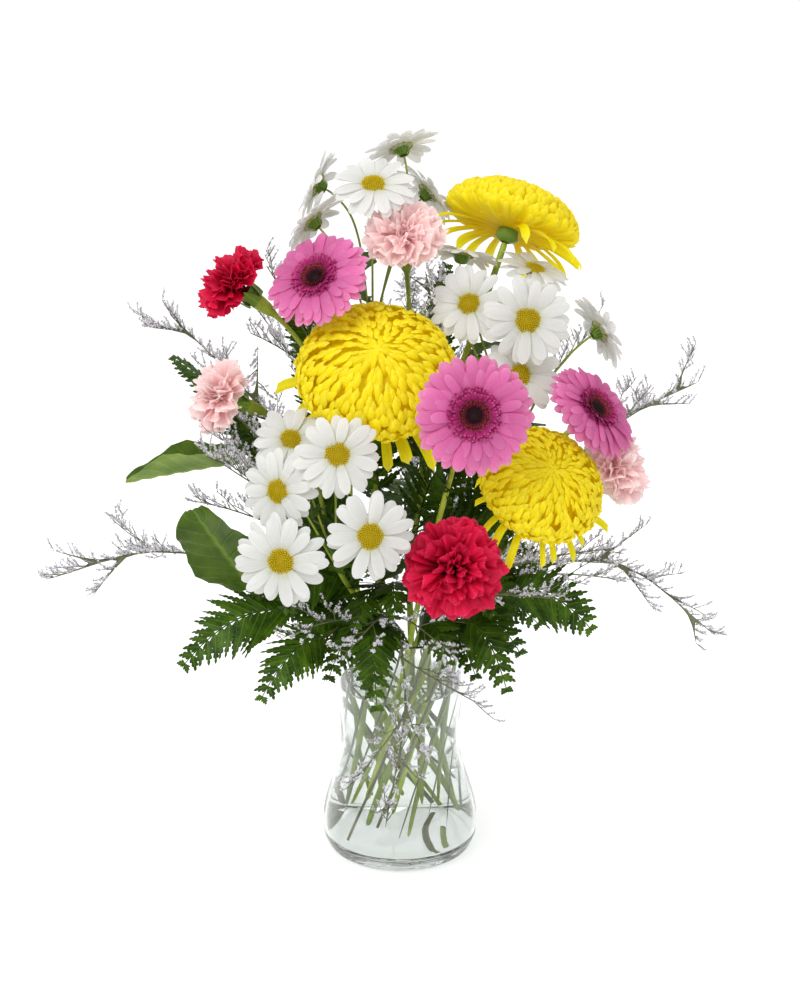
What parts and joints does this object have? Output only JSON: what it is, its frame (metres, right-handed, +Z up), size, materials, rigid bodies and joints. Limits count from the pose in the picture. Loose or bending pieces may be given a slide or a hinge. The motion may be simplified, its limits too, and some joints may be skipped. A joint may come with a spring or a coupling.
{
  "type": "flower arrangement",
  "caption": "Mixed cut flowers, gerberas with chrysanthemums, carnations, daisies, fern and sea lavender, standing in water in a waisted clear glass vase.",
  "frame": {"origin": "centre of the vase foot, on the surface it stands on", "axes": "+Z up along the vase axis, -Y towards the front of the arrangement, +X to its right as seen from the front"},
  "size_m": [0.5448, 0.373, 0.6071],
  "materials": {
    "vase": "clear pressed glass, polished",
    "water": "clear water, standing in for it as a see-through solid",
    "petals_gerbera": "orchid pink petals round a near-black maroon disc",
    "petals_daisy": "white petals round a golden-yellow disc",
    "petals_mum": "lemon-yellow incurved petals",
    "petals_carnation": "hot pink-red ruffled petals with serrated edges",
    "petals_pale": "pale salmon-pink ruffled petals with serrated edges",
    "stem": "green plant stem, slightly ribbed",
    "fern": "dark green leatherleaf frond",
    "leaf": "glossy mid-green leaf with pale veins",
    "sea_lavender": "thin grey-green woody sprig with tiny pale lilac florets"
  },
  "bodies": {
    "root": {"carnation_front_head": "petals_carnation", "carnation_front_stem": "stem", "carnation_left_head": "petals_carnation", "carnation_left_stem": "stem", "carnation_pale_left_head": "petals_pale", "carnation_pale_left_stem": "stem", "carnation_pale_right_head": "petals_pale", "carnation_pale_right_stem": "stem", "carnation_pale_top_head": "petals_pale", "carnation_pale_top_stem": "stem", "daisy_left_1_head": "petals_daisy", "daisy_left_2_head": "petals_daisy", "daisy_left_3_head": "petals_daisy", "daisy_left_4_head": "petals_daisy", "daisy_left_5_head": "petals_daisy", "daisy_left_stem": "stem", "daisy_right_1_head": "petals_daisy", "daisy_right_2_head": "petals_daisy", "daisy_right_3_head": "petals_daisy", "daisy_right_4_head": "petals_daisy", "daisy_right_5_head": "petals_daisy", "daisy_right_6_head": "petals_daisy", "daisy_right_stem": "stem", "daisy_top_1_head": "petals_daisy", "daisy_top_2_head": "petals_daisy", "daisy_top_3_head": "petals_daisy", "daisy_top_4_head": "petals_daisy", "daisy_top_5_head": "petals_daisy", "daisy_top_stem": "stem", "fern_back_left": "fern", "fern_back_right": "fern", "fern_front_left": "fern", "fern_front_right": "fern", "fern_left_high": "fern", "fern_left_low": "fern", "fern_left_mid": "fern", "fern_right": "fern", "gerbera_front_head": "petals_gerbera", "gerbera_front_stem": "stem", "gerbera_left_head": "petals_gerbera", "gerbera_left_stem": "stem", "gerbera_right_head": "petals_gerbera", "gerbera_right_stem": "stem", "lavender_back": "sea_lavender", "lavender_front": "sea_lavender", "lavender_left_high": "sea_lavender", "lavender_left_low": "sea_lavender", "lavender_middle": "sea_lavender", "lavender_right_high": "sea_lavender", "lavender_right_low": "sea_lavender", "leaf_broad": "leaf", "leaf_long": "leaf", "mum_centre_head": "petals_mum", "mum_centre_stem": "stem", "mum_right_head": "petals_mum", "mum_right_stem": "stem", "mum_top_head": "petals_mum", "mum_top_stem": "stem", "vase": "vase", "water": "water"}
  },
  "joints": []
}
